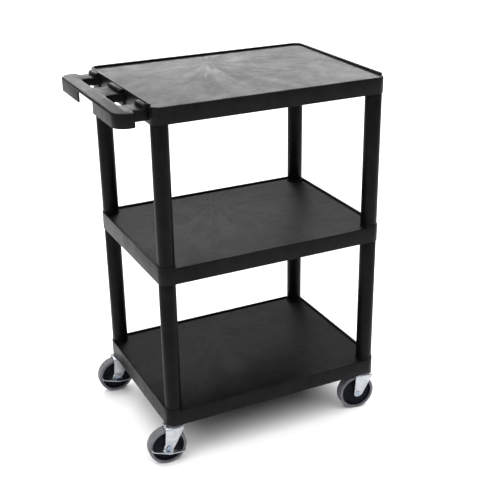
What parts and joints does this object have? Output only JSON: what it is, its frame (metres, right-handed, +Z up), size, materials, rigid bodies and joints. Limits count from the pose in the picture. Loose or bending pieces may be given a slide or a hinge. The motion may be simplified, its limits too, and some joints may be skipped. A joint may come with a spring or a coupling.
{
  "type": "rolling utility cart",
  "caption": "Moulded plastic utility cart: shelves with raised lips on round leg tubes, a push handle with finger slots at one end, and swivel casters with foot brakes.",
  "frame": {"origin": "on the floor, under the middle of the cart's outline", "axes": "+X along the long side, away from the push handle; +Y from the open shelf edge to the back; +Z up"},
  "size_m": [0.6989, 0.4581, 0.94],
  "materials": {
    "moulded_shelf": "pebbled black structural foam, satin",
    "leg_tube": "smooth satin black",
    "sleeve_plastic": "matt black",
    "swivel_head": "dark zinc, greased",
    "zinc_plate": "bright zinc plate",
    "steel_fastener": "blue-white zinc plate",
    "bearing_steel": "polished steel",
    "wheel_hub": "black polypropylene",
    "grey_tyre": "grey thermoplastic rubber, matt"
  },
  "bodies": {
    "cart": {"bottom_shelf": "moulded_shelf", "middle_shelf": "moulded_shelf", "top_shelf": "moulded_shelf", "lower_leg_left_front": "leg_tube", "upper_leg_left_front": "leg_tube", "stem_sleeve_left_front": "sleeve_plastic", "caster_stem_left_front": "swivel_head", "lower_leg_left_back": "leg_tube", "upper_leg_left_back": "leg_tube", "stem_sleeve_left_back": "sleeve_plastic", "caster_stem_left_back": "swivel_head", "lower_leg_right_front": "leg_tube", "upper_leg_right_front": "leg_tube", "stem_sleeve_right_front": "sleeve_plastic", "caster_stem_right_front": "swivel_head", "lower_leg_right_back": "leg_tube", "upper_leg_right_back": "leg_tube", "stem_sleeve_right_back": "sleeve_plastic", "caster_stem_right_back": "swivel_head"},
    "fork_left_front": {"caster_fork_left_front": "zinc_plate", "bearing_balls_left_front": "bearing_steel", "axle_bolt_left_front": "steel_fastener", "axle_nut_left_front": "steel_fastener", "axle_sleeve_left_front": "bearing_steel"},
    "wheel_left_front": {"wheel_hub_left_front": "wheel_hub", "tyre_left_front": "grey_tyre"},
    "pedal_left_front": {"brake_pedal_left_front": "zinc_plate"},
    "shoe_left_front": {"brake_shoe_left_front": "bearing_steel"},
    "fork_left_back": {"caster_fork_left_back": "zinc_plate", "bearing_balls_left_back": "bearing_steel", "axle_bolt_left_back": "steel_fastener", "axle_nut_left_back": "steel_fastener", "axle_sleeve_left_back": "bearing_steel"},
    "wheel_left_back": {"wheel_hub_left_back": "wheel_hub", "tyre_left_back": "grey_tyre"},
    "pedal_left_back": {"brake_pedal_left_back": "zinc_plate"},
    "shoe_left_back": {"brake_shoe_left_back": "bearing_steel"},
    "fork_right_front": {"caster_fork_right_front": "zinc_plate", "bearing_balls_right_front": "bearing_steel", "axle_bolt_right_front": "steel_fastener", "axle_nut_right_front": "steel_fastener", "axle_sleeve_right_front": "bearing_steel"},
    "wheel_right_front": {"wheel_hub_right_front": "wheel_hub", "tyre_right_front": "grey_tyre"},
    "fork_right_back": {"caster_fork_right_back": "zinc_plate", "bearing_balls_right_back": "bearing_steel", "axle_bolt_right_back": "steel_fastener", "axle_nut_right_back": "steel_fastener", "axle_sleeve_right_back": "bearing_steel"},
    "wheel_right_back": {"wheel_hub_right_back": "wheel_hub", "tyre_right_back": "grey_tyre"}
  },
  "joints": [
    {"name": "swivel_left_front", "type": "hinge", "parent": "cart", "child": "fork_left_front", "pos_m": [-0.2405, -0.199, 0.112], "axis": [0, 0, 1], "continuous": true},
    {"name": "wheel_spin_left_front", "type": "hinge", "parent": "fork_left_front", "child": "wheel_left_front", "pos_m": [-0.26242, -0.19708, 0.05], "axis": [0.0872, 0.9962, 0], "continuous": true},
    {"name": "brake_rock_left_front", "type": "hinge", "parent": "fork_left_front", "child": "pedal_left_front", "pos_m": [-0.26242, -0.19708, 0.05], "axis": [-0.0872, -0.9962, 0], "range_deg": [0, 30]},
    {"name": "brake_press_left_front", "type": "slide", "parent": "fork_left_front", "child": "shoe_left_front", "axis": [0.0872, 0.9962, 0], "range_m": [0, 0.0006]},
    {"name": "swivel_left_back", "type": "hinge", "parent": "cart", "child": "fork_left_back", "pos_m": [-0.2405, 0.199, 0.112], "axis": [0, 0, 1], "continuous": true},
    {"name": "wheel_spin_left_back", "type": "hinge", "parent": "fork_left_back", "child": "wheel_left_back", "pos_m": [-0.26249, 0.19958, 0.05], "axis": [0.0262, 0.9997, 0], "continuous": true},
    {"name": "brake_rock_left_back", "type": "hinge", "parent": "fork_left_back", "child": "pedal_left_back", "pos_m": [-0.26249, 0.19958, 0.05], "axis": [-0.0262, -0.9997, 0], "range_deg": [0, 30]},
    {"name": "brake_press_left_back", "type": "slide", "parent": "fork_left_back", "child": "shoe_left_back", "axis": [0.0262, 0.9997, 0], "range_m": [0, 0.0006]},
    {"name": "swivel_right_front", "type": "hinge", "parent": "cart", "child": "fork_right_front", "pos_m": [0.3235, -0.199, 0.112], "axis": [0, 0, 1], "continuous": true},
    {"name": "wheel_spin_right_front", "type": "hinge", "parent": "fork_right_front", "child": "wheel_right_front", "pos_m": [0.30171, -0.19594, 0.05], "axis": [0.1392, 0.9903, 0], "continuous": true},
    {"name": "swivel_right_back", "type": "hinge", "parent": "cart", "child": "fork_right_back", "pos_m": [0.3235, 0.199, 0.112], "axis": [0, 0, 1], "continuous": true},
    {"name": "wheel_spin_right_back", "type": "hinge", "parent": "fork_right_back", "child": "wheel_right_back", "pos_m": [0.30155, 0.19747, 0.05], "axis": [-0.0698, 0.9976, 0], "continuous": true}
  ],
  "couplings": [
    {"joint": "brake_press_left_front", "follows": "brake_rock_left_front", "m_per_rad": 0.0011459},
    {"joint": "brake_press_left_back", "follows": "brake_rock_left_back", "m_per_rad": 0.0011459}
  ]
}
